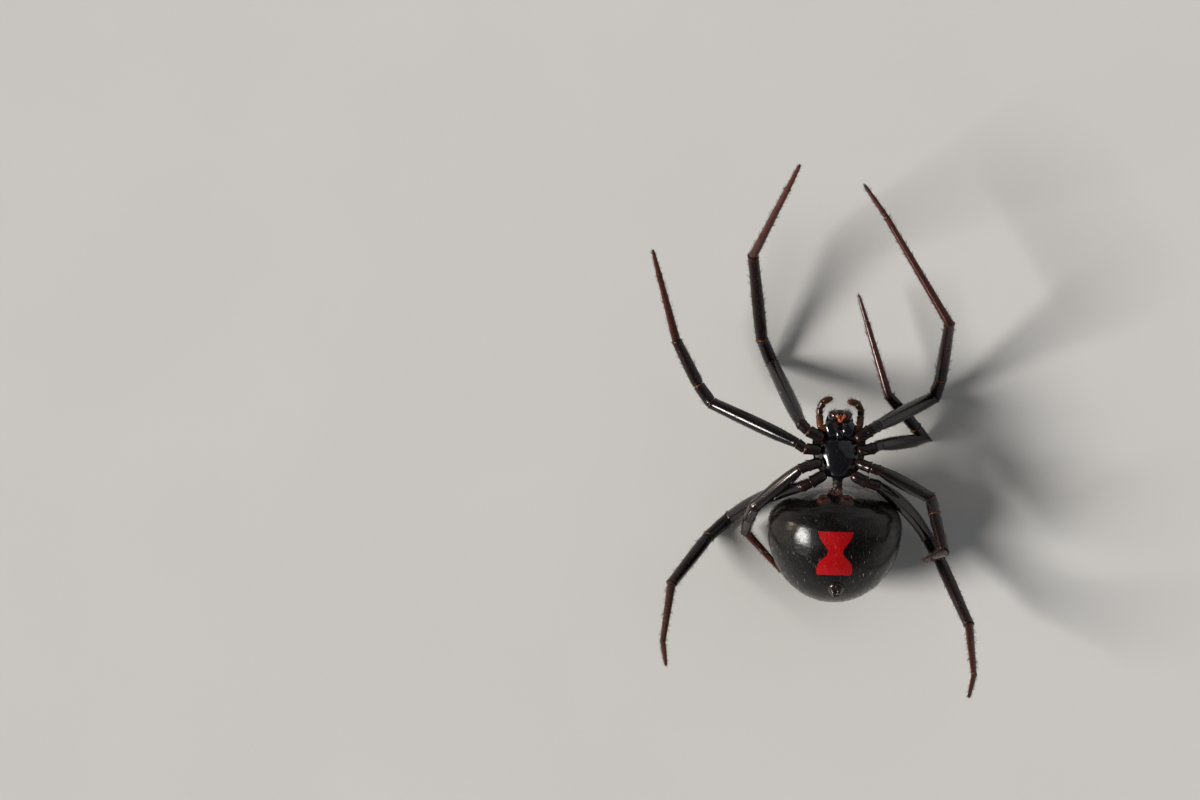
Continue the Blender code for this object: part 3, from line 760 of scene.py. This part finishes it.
def make_sternum():
    along, angle = sphere_grid(90, 130)
    across, lift = sternum_shares(along)
    upper = np.sin(angle) > 0
    y = STERNUM_MID + np.where(along < 0, STERNUM_FRONT, STERNUM_REAR) * along
    scallop = 1 - 0.035 * (0.5 + 0.5 * np.cos((y - FIRST_COXA_Y) * 2 * math.pi / COXA_SPACING))
    x = STERNUM_HALF_WIDTH * across * scallop * np.cos(angle)
    height = np.where(upper, STERNUM_HEIGHT, 0.05) * lift
    points = xyz(x, y, STERNUM_Z + height * np.sin(angle))
    rim = np.where(upper, bell(np.abs(np.cos(angle)) - 0.93, 0.035), 0)
    points = raised(points, 0.01 * ripple(points, 0.5) - 0.02 * rim)
    add_loft("sternum_plate", points, PLATE_CUTICLE, "cuticle", ["sternum"])


def make_underside_skin():
    """The soft skin between the carapace's edge, the legs and the sternum."""
    along, angle = sphere_grid(60, 90)
    y, across, width, _ = carapace_outline(along)
    height = np.where(np.sin(angle) > 0, 0.4, 0.1)
    x = 0.93 * width * across * np.cos(angle)
    points = xyz(x, 0.96 * y - 0.22, SEAM_Z + height * across * np.sin(angle))
    points = raised(points, 0.02 * ripple(points, 0.3))
    add_loft("underside_skin", points, SOFT_SKIN, "pedicel")


def make_mouthparts():
    parts = []
    for side in (1, -1):
        plate = lump((side * 0.57, -6.82, 6.76), (0.47, 0.62, 0.44), 2.7, turn=17 * side)
        plate[..., 0] -= side * 0.14 * smooth(-plate[..., 1], 6.8, 7.4)
        parts.append(plate)
    parts.append(lump((0, -6.47, 6.84), (0.32, 0.36, 0.38), 2.6))
    for rings in parts:
        rings += unit(rings - rings.mean(axis=(0, 1))) * (0.012 * ripple(rings, 0.3))[..., None]
    join_lofts("maxillae_and_labium", parts, PLATE_CUTICLE, "cuticle", ["endites_and_labium"])


def path_rings(path, radii, sides):
    """Rings of a tapered tube along a path whose corners are rounded off."""
    path = np.array(path, float)
    stations = np.linspace(0, len(path) - 1, (len(path) - 1) * 6 + 1)
    knots = np.arange(len(path))
    line = np.stack([soften(stations, knots, values) for values in path.T], axis=-1)
    thickness = soften(stations, knots, np.array(radii))
    ways = unit(np.gradient(line, axis=0))
    side = unit(np.cross(ways[0], (0.28, 0.33, 0.9)))
    angle = angles_round(sides)
    rings = []
    for place, way, radius in zip(line, ways, thickness):
        side = unit(side - way * (side @ way))
        rings.append(place + spokes_at(angle, side, np.cross(way, side)) * radius)
    return np.array(rings)


def soften(stations, knots, values):
    """Values between knots, with the corners rounded off."""
    window = 0.3
    shares = np.linspace(-window, window, 7)
    return np.mean([np.interp(stations + share, knots, values) for share in shares], axis=0)


def make_chelicerae():
    for side_name, side in SIDES.items():
        mirror = np.array([side, 1, 1])
        name = f"chelicera_{side_name}"
        rings = path_rings(mirror * CHELICERA_PATH, CHELICERA_RADII, 26)
        ways = unit(rings - rings.mean(axis=1, keepdims=True))
        rings += ways * (0.012 * ripple(rings, 0.35))[..., None]
        add_loft(name + "_trunk", rings, MOUTH_CUTICLE, "mouthparts", [name])
        fang = path_rings(mirror * FANG_PATH, FANG_RADII, 16)
        add_loft(f"fang_{side_name}", fang, FANG_CUTICLE, "mouthparts")
    lip = lump((0.0, -7.5, 7.26), (0.2, 0.27, 0.23), 2.4)
    add_loft("labrum", lip, FANG_CUTICLE, "mouthparts")


def make_pedicel():
    stations = np.linspace(0, 1, 26)[:, None]
    angle = angles_round(30)
    y = CARAPACE_REAR - 0.45 + stations * 1.75
    radius = 0.33 + 0.03 * np.cos(stations * 2 * math.pi * 6) + 0.05 * np.abs(stations * 2 - 1)
    rings = xyz(radius * np.cos(angle), y, PEDICEL_Z + 0.9 * radius * np.sin(angle))
    add_loft("pedicel_stalk", rings, SOFT_SKIN, "pedicel", ["pedicel"])


class Limb:
    """A jointed tube whose rings near a joint slant to meet in the plane that halves its angle."""

    # Rings at a limb's root: distance, share of the radius, softness, and swell at the hinge
    ROOT = ((-0.2, 0.4, 0.3, 0), (-0.17, 0.66, 0.2, 0), (-0.1, 0.87, 0, 0), (0.0, 0.97, 0, 0))

    # Rings after and before a joint: share of its soft gap, millimetres more, and then as above
    START = (
        (0.5, 0, 0.84, 1, 0), (1, 0, 0.87, 1, 0), (1, 0.003, 0.99, 0, 0), (1, 0.04, 1.04, 0, 0.04),
    )
    END = (
        (1, 0.15, 1.01, 0, 0.02), (1, 0.09, 1.03, 0, 0.08), (1, 0.04, 1.05, 0, 0.13),
        (1, 0, 1.03, 0, 0.08), (1, -0.003, 0.87, 1, 0), (0.5, 0, 0.83, 1, 0), (0, 0, 0.8, 1, 0),
    )

    # How full the inner side of a bend stays, and how many radii the slanting rings reach
    ROUND = 1.02
    SLANT = 1.7

    def __init__(self, joints, profiles, girth, bow=None, bowed_segment=None):
        self.joints = np.array(joints, float)
        steps = np.diff(self.joints, axis=0)
        self.lengths = np.linalg.norm(steps, axis=1)
        self.ways = steps / self.lengths[:, None]
        self.profiles = profiles
        self.girth = girth
        self.bow = bow
        self.bowed_segment = bowed_segment
        self.spokes = self.carried_spokes()

    def carried_spokes(self):
        side = unit(np.cross(self.ways[0], (0.0, 0.0, 1.0)))
        spokes = [(side, np.cross(self.ways[0], side))]
        for before, after in zip(self.ways[:-1], self.ways[1:]):
            turn = Vector(before).rotation_difference(Vector(after))
            spokes.append(tuple(np.array(turn @ Vector(spoke)) for spoke in spokes[-1]))
        return spokes

    def radius(self, segment, distance):
        shares, radii = zip(*self.profiles[segment])
        share = distance / self.lengths[segment]
        around = [np.interp(share + shift, shares, radii) for shift in np.linspace(-0.04, 0.04, 5)]
        return self.girth * np.mean(around, axis=0)

    def gap(self, segment, at_end):
        """Half the width of the soft skin at a joint."""
        joint_radius = self.radius(segment, self.lengths[segment] if at_end else 0.0)
        return 0.1 * float(joint_radius) + 0.008

    def bend(self, segment, at_end):
        """The tangent of half the bend at a segment's end, and the way to the bend's inner side."""
        other = segment + 1 if at_end else segment - 1
        if not 0 <= other < len(self.ways):
            return 0.0, np.zeros(3)
        way = self.ways[segment]
        toward = self.ways[other] if at_end else -self.ways[other]
        inner = toward - way * (toward @ way)
        if np.linalg.norm(inner) < 1e-6:
            return 0.0, np.zeros(3)
        cosine = float(np.clip(way @ self.ways[other], -1, 1))
        return math.tan(math.acos(cosine) / 2), unit(inner)

    def skin(self, segment, distance, angle, scale=1.0):
        """Points by distance along a segment and angle round it, and the ways they face."""
        distance, angle = np.broadcast_arrays(np.asarray(distance, float), np.asarray(angle, float))
        way = self.ways[segment]
        length = self.lengths[segment]
        spoke = spokes_at(angle, *self.spokes[segment])
        radius = self.radius(segment, distance) * scale
        ends = []
        for at_end, sign in ((False, 1.0), (True, -1.0)):
            half, inner = self.bend(segment, at_end)
            if half == 0:
                continue
            gap = self.gap(segment, at_end)
            full = float(self.radius(segment, length if at_end else 0.0))
            zone = min(max(self.SLANT * half * full, 0.15), 0.5 * length - gap)
            reach = length - distance if at_end else distance
            weight = 1 - smooth(reach - gap, 0, zone)
            inward = spoke @ inner
            shrink = max(0.0, 1 - self.ROUND * math.cos(math.atan(half)))
            radius = radius * (1 - shrink * np.maximum(-inward, 0) ** 2 * weight)
            ends.append(sign * half * inward * weight)
        slide = sum(ends) * radius if ends else 0.0
        centre = self.joints[segment] + way * (distance + slide)[..., None]
        if segment == self.bowed_segment:
            share = np.clip(distance / length, 0, 1)
            centre = centre + self.bow * (4 * share * (1 - share))[..., None]
        return centre + spoke * radius[..., None], spoke

    def stations(self, segment, first, last):
        """A segment's rings: distance, share of the radius, softness, and swell at the hinge."""
        length = self.lengths[segment]
        gap = self.gap(segment, False)
        end_gap = self.gap(segment, True)
        rings = list(self.ROOT)
        start = 0.1
        if segment != first:
            rings = [(share * gap + past, *ring) for share, past, *ring in self.START]
            start = gap + 0.12
        stop = length - end_gap - 0.22
        count = max(4, int((stop - start) / 0.22))
        rings += [(distance, 1, 0, 0) for distance in np.linspace(start, stop, count)]
        if segment != last:
            rings += [(length - share * end_gap - past, *ring) for share, past, *ring in self.END]
        return rings

    def hinge_share(self, segment, at_end, angle):
        """1 on the two sides where a joint's hinge knobs are, 0 away from them."""
        inner = self.bend(segment, at_end)[1]
        axis = np.cross(self.ways[segment], inner)
        return (spokes_at(angle, *self.spokes[segment]) @ axis) ** 8

    def rings(self, first, last, tones, closing, columns):
        """Rings of the skin from one segment to another, with their soft and brown shares."""
        angle = angles_round(columns)
        points = []
        soft = []
        tone = []
        for segment in range(first, last + 1):
            length = self.lengths[segment]
            stations = self.stations(segment, first, last)
            if segment == last:
                stations += [(length + distance, *ring, 0) for distance, *ring in closing]
            for distance, scale, softness, swell in stations:
                hinge = self.hinge_share(segment, distance > length / 2, angle)
                points.append(self.skin(segment, distance, angle, scale + swell * hinge)[0])
                soft.append(np.full(columns, softness))
                along = np.clip(distance / length, 0, 1)
                near_joint = bell(min(along, 1 - along) * length, 0.22)
                start_tone, end_tone, joint_tone = tones[segment]
                level = start_tone + (end_tone - start_tone) * along
                tone.append(np.full(columns, level + joint_tone * near_joint))
        return np.array(points), np.concatenate(soft), np.concatenate(tone)


# Brown share of each segment: at its start, at its end, and more beside the joints
LEG_TONES = (
    (0.15, 0.1, 0.15), (0.1, 0.1, 0.2), (0.05, 0.08, 0.25), (0.1, 0.1, 0.3), (0.05, 0.4, 0.25),
    (0.45, 0.8, -0.4), (0.7, 1.0, -0.3),
)
# The right palp's high brown share near its root is a painted warm highlight, on the side the light
# comes from; the other shares are the palps' own brown.
PALP_TONES_AND_WARM_HIGHLIGHT = {
    "right": ((0.3, 0.6, 0), (0.95, 0.2, 0), (0.1, 0.1, 0.1), (0.05, 0.1, 0.1), (0.1, 0.3, 0.1)),
    "left": ((0.1, 0.2, 0), (0.25, 0.1, 0), (0.05, 0.1, 0.1), (0.05, 0.1, 0.1), (0.1, 0.3, 0.1)),
}

# How a skin closes after its last segment: distance past the end, share of the radius, softness
RIM_CLOSING = ((-0.14, 1.0, 0), (-0.05, 1.05, 0), (-0.01, 1.02, 0), (-0.006, 0.8, 1), (-0.03, 0.4, 1))
TIP_CLOSING = ((-0.1, 1.0, 0), (-0.04, 0.95, 0), (-0.015, 0.8, 0), (0.0, 0.5, 0))


def direction(side, heading, pitch):
    """The way a segment points: out from straight ahead by heading, up by pitch, in radians."""
    level = math.cos(pitch)
    return np.array([side * math.sin(heading) * level, -math.cos(heading) * level, math.sin(pitch)])


def joints_of(side, start, lengths, angles):
    joints = [np.array(start, float)]
    for length, (heading, pitch) in zip(lengths, angles):
        here = joints[-1]
        lift = math.asin((KNEE_HEIGHT - here[2]) / length) if pitch is REST else math.radians(pitch)
        joints.append(here + direction(side, math.radians(heading), lift) * length)
    return joints


def add_limb_skin(name, limb, first, last, tones, closing, material, slot, nodes, columns=28):
    rings, soft, tone = limb.rings(first, last, tones, closing, columns)
    rings[..., 2] = settle(rings[..., 2])
    piece = add_loft(name, rings, material, slot, nodes)
    set_attribute(piece, "membrane", np.append(soft, [soft[0], soft[-1]]))
    set_attribute(piece, "tone", np.append(tone, [tone[0], tone[-1]]))


def make_leg(side_name, pair):
    side = SIDES[side_name]
    angles = POSE[(side_name, pair)]
    start = (side * COXA_X[pair], FIRST_COXA_Y + (pair - 1) * COXA_SPACING, COXA_Z)
    joints = joints_of(side, start, LEG_LENGTHS[pair], angles)
    bow = direction(side, math.radians(angles[FEMUR][0]) - math.pi / 2, 0) * FEMUR_BOW[pair]
    limb = Limb(joints, LEG_PROFILES, GIRTH[pair], bow, FEMUR)
    name = f"leg_{side_name}_{pair}"
    upper = [f"{name}_{part}" for part in LEG_SKIN_NODES]
    add_limb_skin(
        name + "_skin", limb, 0, TIBIA, LEG_TONES, RIM_CLOSING, LEG_CUTICLE, "cuticle", upper
    )
    add_limb_skin(
        f"foot_{side_name}_{pair}_skin", limb, METATARSUS, TARSUS, LEG_TONES, TIP_CLOSING,
        FOOT_CUTICLE, "distal_legs", [name + "_tarsus"], 22,
    )
    make_claws(f"claws_{side_name}_{pair}", limb)
    return limb


def make_claws(name, limb):
    """Two curved claws and a small middle one at the tip of a tarsus."""
    way = limb.ways[-1]
    side, up = limb.spokes[-1]
    parts = []
    for aside, size, radius in ((0.7, 1.0, 0.026), (-0.7, 1.0, 0.026), (0.0, 0.6, 0.018)):
        root = limb.joints[-1] - way * 0.06 + side * 0.04 * aside
        path = root + size * np.array(CLAW_PATH) @ np.array([way, aside * side, up])
        parts.append(path_rings(path, (radius, radius * 0.85, radius * 0.5, 0.004), 8))
    join_lofts(name, parts, CLAW_CUTICLE, "mouthparts")


def make_palp(side_name):
    side = SIDES[side_name]
    root = np.array(PALP_ROOT) * (side, 1, 1)
    base = np.array(PALP_BASE) * (side, 1, 1)
    joints = [root, *joints_of(side, base, PALP_LENGTHS, PALP_POSE[side_name])]
    limb = Limb(joints, PALP_PROFILES, 1.0)
    add_limb_skin(
        f"palp_{side_name}_skin", limb, 0, 4, PALP_TONES_AND_WARM_HIGHLIGHT[side_name], TIP_CLOSING, PALP_CUTICLE,
        "distal_legs", [f"palp_{side_name}"], 24,
    )
    return limb


class Hairs:
    """Hairs gathered for one piece. Each is a bent spike with three sides."""

    # A hair's share of the baked map's side, and how high a tip has to be, in millimetres
    PATCH = 0.003
    LOWEST = 0.03

    def __init__(self, rng):
        self.rng = rng
        self.batches = []

    def add(self, roots, ways, lengths, radius, sags, maps):
        """Sags bend the tips, and maps are the roots' places on the skin, from 0 to 1."""
        radii = np.full(len(roots), radius)
        self.batches.append((roots, ways, lengths, radii, sags, maps))

    def build(self, name, material, slot):
        """One piece of all the hairs, except any that would touch the floor."""
        columns = [np.concatenate(column) for column in zip(*self.batches)]
        tips = columns[0] + unit(columns[1]) * columns[2][:, None] + columns[4]
        clear = tips[:, 2] > self.LOWEST
        roots, ways, lengths, radii, sags, maps = (column[clear] for column in columns)
        count = len(roots)
        ways = unit(ways)
        side = unit(np.cross(ways, self.rng.normal(size=(count, 3))))
        up = np.cross(ways, side)
        points = np.zeros((count, 7, 3))
        for corner in range(3):
            angle = corner * 2 * math.pi / 3
            spoke = math.cos(angle) * side + math.sin(angle) * up
            points[:, corner] = roots - ways * 0.02 + spoke * radii[:, None]
            middle = roots + ways * (lengths * 0.5)[:, None] + sags * 0.3
            points[:, 3 + corner] = middle + spoke * (radii * 0.7)[:, None]
        points[:, 6] = roots + ways * lengths[:, None] + sags
        sides = [(0, 1, 4, 3), (1, 2, 5, 4), (2, 0, 3, 5), (3, 4, 6), (4, 5, 6), (5, 3, 6)]
        faces = [
            tuple(7 * hair + index for index in face)
            for hair in range(count) for face in [(0, 2, 1), *sides]
        ]
        piece = new_piece(name, points.reshape(-1, 3), faces, material, slot)
        set_attribute(piece, "tip", np.tile((0, 0, 0, 0.5, 0.5, 0.5, 1), count))
        spread = [(0, 0), (1, 0), (0.5, 1), (0.2, 0.2), (0.8, 0.2), (0.5, 0.8), (0.5, 0.4)]
        uv = np.clip(maps[:, None, :], 0, 1 - self.PATCH) + np.array(spread) * self.PATCH
        layer = piece.data.uv_layers.new(name="OFBake")
        corners = np.zeros(len(piece.data.loops), np.int32)
        piece.data.loops.foreach_get("vertex_index", corners)
        layer.data.foreach_set("uv", uv.reshape(-1, 2)[corners].astype(np.float32).ravel())


def make_limb_hairs(name, limb, plan, rng, radius):
    """Bristles that lean towards the limb's tip."""
    hairs = Hairs(rng)
    total = sum(limb.lengths)
    passed = 0.0
    for segment, (density, length) in enumerate(plan):
        span = limb.lengths[segment]
        count = int(density * span)
        distance = rng.uniform(0.08, span - 0.08, count)
        angle = rng.uniform(0, 2 * math.pi, count)
        roots, spokes = limb.skin(segment, distance, angle)
        lean = rng.uniform(0.75, 1.5, count)[:, None]
        ways = unit(spokes + lean * limb.ways[segment] + rng.normal(0, 0.14, (count, 3)))
        lengths = length * rng.uniform(0.7, 1.25, count)
        sag = limb.ways[segment] * (0.22 * lengths)[:, None]
        maps = np.stack([angle / (2 * math.pi), (passed + distance) / total], axis=-1)
        hairs.add(roots, ways, lengths, radius, sag, maps)
        passed += span
    hairs.build(name, BRISTLE, "distal_legs")


def make_abdomen_hairs(rng):
    """Short hairs that lie back along the skin, except on the book lungs and the resting flat."""
    count = HAIR_COUNTS["abdomen"]
    along = rng.uniform(-0.985, 0.985, count)
    angle = rng.uniform(0, 2 * math.pi, count)
    points = abdomen_point(along, angle)
    lungs = [on_belly(LUNG_CENTRE_X + side * LUNG_OUT, LUNG_Y) for side in (1, -1)]
    bare = sum(hill(points, lung, 0.5) for lung in lungs)
    keep = (points[:, 2] > 0.35) & (bare < 0.4)
    along, angle, points = along[keep], angle[keep], points[keep]
    step = 0.004
    back = unit(abdomen_point(along + step, angle) - abdomen_point(along - step, angle))
    around = unit(abdomen_point(along, angle + step) - abdomen_point(along, angle - step))
    normals = np.cross(around, back)
    normals *= np.sign(((points - (0, 0, ABDOMEN_AXIS_Z)) * normals).sum(axis=-1))[:, None]
    roots = points + normals * abdomen_relief(points)[:, None]
    lengths = rng.uniform(0.1, 0.22, len(roots))
    ways = normals * 0.5 + back + rng.normal(0, 0.2, roots.shape)
    sags = (back * 0.2 - normals * 0.1) * lengths[:, None]
    maps = np.stack([angle / (2 * math.pi), (along + 1) / 2], axis=-1)
    hairs = Hairs(rng)
    hairs.add(roots, ways, lengths, HAIR_RADII["abdomen"], sags, maps)
    hairs.build("abdomen_hairs", ABDOMEN_HAIR, "abdomen")


def make_body_hairs(rng):
    """Bristles of the sternum, the maxillae's inner edges and the chelicerae."""
    hairs = Hairs(rng)
    count = HAIR_COUNTS["sternum"]
    x = rng.uniform(-1.15, 1.15, count)
    y = rng.uniform(-6.15, -3.6, count)
    height = sternum_height(x, y)
    keep = height > SEAM_Z + 0.25
    roots = xyz(x, y, height)[keep]
    ways = xyz(0.35 * x[keep], 0.35, 1.0) + rng.normal(0, 0.15, roots.shape)
    lengths = rng.uniform(0.14, 0.26, len(roots))
    maps = np.stack([(x[keep] + 1.4) / 2.8, (y[keep] + 6.3) / 3], axis=-1)
    hairs.add(roots, ways, lengths, HAIR_RADII["sternum"], ways * 0, maps)
    for side in (1, -1):
        count = HAIR_COUNTS["maxilla"]
        y = rng.uniform(-7.3, -6.75, count)
        x = side * (0.12 + rng.uniform(0, 0.32, count))
        z = 7.12 - 0.5 * (y + 6.9) ** 2 - 0.6 * (np.abs(x) - 0.4) ** 2
        roots = xyz(x, y, z)
        ways = np.array([-0.35 * side, -0.7, 1.0]) + rng.normal(0, 0.25, roots.shape)
        maps = np.stack([0.1 + 0.35 * (side > 0) + np.abs(x) * 0.5, y + 7.4], axis=-1)
        lengths = rng.uniform(0.12, 0.24, count)
        hairs.add(roots, ways, lengths, HAIR_RADII["maxilla"], ways * 0, maps)
        count = HAIR_COUNTS["chelicera"]
        height = rng.uniform(6.6, 7.5, count)
        bearing = rng.uniform(math.pi, 2 * math.pi, count)
        x = side * 0.42 + 0.34 * np.cos(bearing)
        roots = xyz(x, -7.75 + 0.34 * np.sin(bearing), height)
        ways = xyz(np.cos(bearing), np.sin(bearing), 0.9)
        maps = np.stack([bearing / (2 * math.pi), height - 6.5], axis=-1)
        lengths = rng.uniform(0.14, 0.28, count)
        hairs.add(roots, ways, lengths, HAIR_RADII["chelicera"], ways * 0, maps)
    hairs.build("body_bristles", BRISTLE, "distal_legs")


def make_stage():
    bpy.ops.mesh.primitive_plane_add(size=FLOOR_SIZE, location=(0, 0, FLOOR_Z))
    floor = bpy.context.object
    floor.name = "floor"
    floor.data.materials.append(floor_material())


def make_lights():
    for name, (way, strength, width, colour) in LIGHTS.items():
        light = bpy.data.lights.new(name, "SUN")
        light.energy = strength
        light.angle = math.radians(width)
        light.color = colour
        lamp = link_object(name, light)
        lamp.rotation_euler = Vector(way).to_track_quat("Z", "Y").to_euler()
    world = bpy.data.worlds.new("studio")
    bpy.context.scene.world = world
    tree = Tree(world)
    way = tree.add("TexCoord").outputs["Generated"]
    height = tree.add("SeparateXYZ", {0: way}).outputs["Z"]
    sky = tree.mix(tree.ramp(height, 0.0, 0.7), HORIZON, ZENITH)
    tree.connect(tree.nodes["Background"], {"Color": sky})
    bpy.context.scene.view_settings.view_transform = "Standard"


def make_camera():
    """The photo's view: straight down on the belly side, the head towards the picture's top."""
    data = bpy.data.cameras.new("camera")
    data.lens = 100
    data.sensor_width = 36
    data.clip_start = 0.01
    data.clip_end = 20
    camera = link_object("camera", data)
    camera.location = CAMERA_PLACE
    camera.rotation_euler = (0, 0, math.radians(CAMERA_TURN))
    bpy.context.scene.camera = camera


rng = np.random.default_rng(SEED)
make_abdomen()
make_epigynum()
make_spinnerets()
make_pedicel()
make_underside_skin()
make_carapace()
make_sternum()
make_mouthparts()
make_chelicerae()
make_abdomen_hairs(rng)
make_body_hairs(rng)
for side_name in SIDES:
    palp = make_palp(side_name)
    make_limb_hairs(f"palp_bristles_{side_name}", palp, PALP_BRISTLES, rng, HAIR_RADII["palp"])
    for pair in LEG_LENGTHS:
        leg = make_leg(side_name, pair)
        name = f"leg_bristles_{side_name}_{pair}"
        make_limb_hairs(name, leg, LEG_BRISTLES, rng, HAIR_RADII["leg"])
make_stage()
make_lights()
make_camera()
